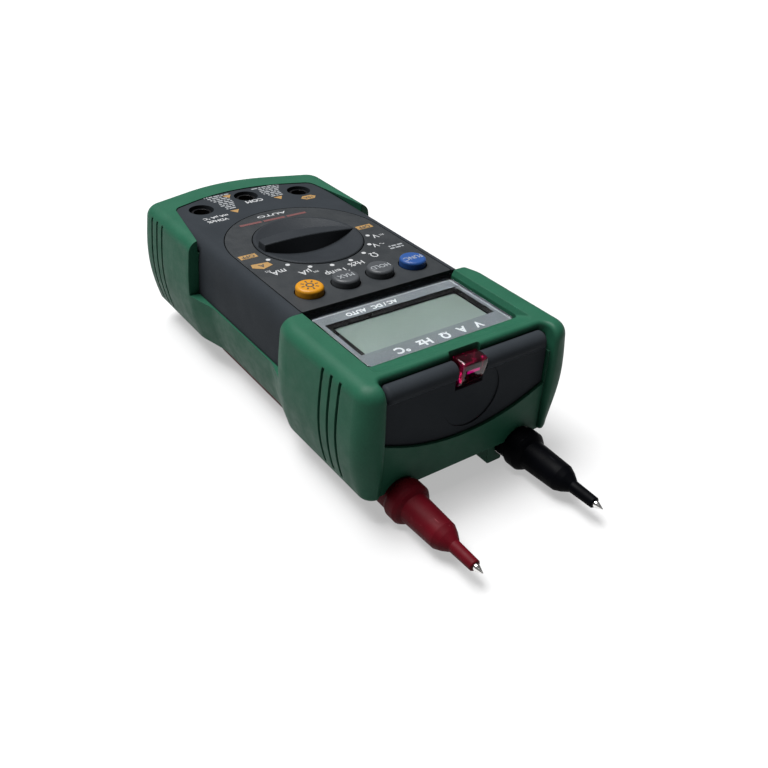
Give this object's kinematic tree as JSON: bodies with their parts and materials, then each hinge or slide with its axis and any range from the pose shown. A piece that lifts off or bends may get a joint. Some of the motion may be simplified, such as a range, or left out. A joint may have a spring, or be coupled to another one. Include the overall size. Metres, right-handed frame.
{
  "type": "digital multimeter",
  "caption": "Handheld digital multimeter in a ribbed rubber holster, with a rotary range dial, push buttons, a display window, banana sockets and probes clipped underneath.",
  "frame": {"origin": "centre of the object's box, on the surface it stands on", "axes": "+X to the right for a person reading the dial, +Y along the body from the sockets to the display and the probe points, +Z out of the face"},
  "size_m": [0.072, 0.1761, 0.0465],
  "materials": {
    "holster_rubber": "satin",
    "shell_plastic": "fine texture",
    "panel_plastic": "fine texture",
    "dial_plastic": "satin",
    "clear_lens": "clear",
    "lcd_cell": "polished",
    "white_plastic": "satin",
    "grey_cap": "satin",
    "blue_cap": "satin",
    "yellow_cap": "satin",
    "black_plastic": "satin",
    "red_window": "clear",
    "silicone": "matte",
    "conductive_rubber": "matte",
    "brass_plated": "polished",
    "spring_steel": "satin",
    "bright_tip": "polished",
    "circuit_board": "solder mask",
    "ceramic_body": "satin",
    "cell_jacket": "printed film",
    "red_probe_plastic": "satin",
    "black_probe_plastic": "satin"
  },
  "bodies": {
    "meter": {"holster": "holster_rubber", "front_case": "shell_plastic", "rear_case": "shell_plastic", "control_panel": "panel_plastic", "case_screws": "spring_steel", "display_lens": "clear_lens", "lcd_glass": "lcd_cell", "lcd_frame": "black_plastic", "lcd_backlight": "white_plastic", "zebra_strips": "conductive_rubber", "keypad_mat": "silicone", "socket_10a": "brass_plated", "socket_com": "brass_plated", "socket_volt": "brass_plated", "socket_10a_shroud": "black_plastic", "socket_com_shroud": "black_plastic", "socket_volt_shroud": "black_plastic", "main_board": "circuit_board", "meter_chip": "black_plastic", "buzzer": "black_plastic", "thermistor": "ceramic_body", "fuse_10a": "ceramic_body", "fuse_ma": "ceramic_body", "fuse_clips": "brass_plated", "current_shunt": "brass_plated", "ncv_window": "red_window", "ncv_led": "red_window", "battery_1": "cell_jacket", "battery_2": "cell_jacket", "battery_contacts": "spring_steel", "stand_pin": "spring_steel"},
    "dial": {"rotary_knob": "dial_plastic", "switch_rotor": "white_plastic", "switch_wipers": "brass_plated", "detent_balls": "bright_tip", "detent_springs": "spring_steel"},
    "function_key": {"function_button": "blue_cap"},
    "hold_key": {"hold_button": "grey_cap"},
    "max_key": {"max_button": "grey_cap"},
    "backlight_key": {"backlight_button": "yellow_cap"},
    "stand": {"tilt_stand": "shell_plastic"},
    "battery_cover": {"battery_door": "shell_plastic", "battery_door_screw": "spring_steel"},
    "red_probe": {"red_probe_handle": "red_probe_plastic", "red_probe_tip": "bright_tip"},
    "black_probe": {"black_probe_handle": "black_probe_plastic", "black_probe_tip": "bright_tip"}
  },
  "joints": [
    {"name": "dial_turn", "type": "hinge", "parent": "meter", "child": "dial", "pos_m": [0, -0.02776, 0.0433], "axis": [0, 0, 1], "range_deg": [-180, 0]},
    {"name": "function_press", "type": "slide", "parent": "meter", "child": "function_key", "axis": [0, 0, -1], "range_m": [0, 0.001], "stiffness_N_per_m": 600, "springref_m": -0.0003},
    {"name": "hold_press", "type": "slide", "parent": "meter", "child": "hold_key", "axis": [0, 0, -1], "range_m": [0, 0.001], "stiffness_N_per_m": 600, "springref_m": -0.0003},
    {"name": "max_press", "type": "slide", "parent": "meter", "child": "max_key", "axis": [0, 0, -1], "range_m": [0, 0.001], "stiffness_N_per_m": 600, "springref_m": -0.0003},
    {"name": "backlight_press", "type": "slide", "parent": "meter", "child": "backlight_key", "axis": [0, 0, -1], "range_m": [0, 0.001], "stiffness_N_per_m": 600, "springref_m": -0.0003},
    {"name": "stand_swing", "type": "hinge", "parent": "meter", "child": "stand", "pos_m": [0, 0.02674, 0.0111], "axis": [1, 0, 0], "range_deg": [0, 75]},
    {"name": "battery_cover_lift", "type": "slide", "parent": "meter", "child": "battery_cover", "axis": [0, 0, -1], "range_m": [0, 0.03]},
    {"name": "red_probe_pull", "type": "slide", "parent": "meter", "child": "red_probe", "axis": [0, 1, 0], "range_m": [0, 0.1]},
    {"name": "black_probe_pull", "type": "slide", "parent": "meter", "child": "black_probe", "axis": [0, 1, 0], "range_m": [0, 0.1]}
  ]
}
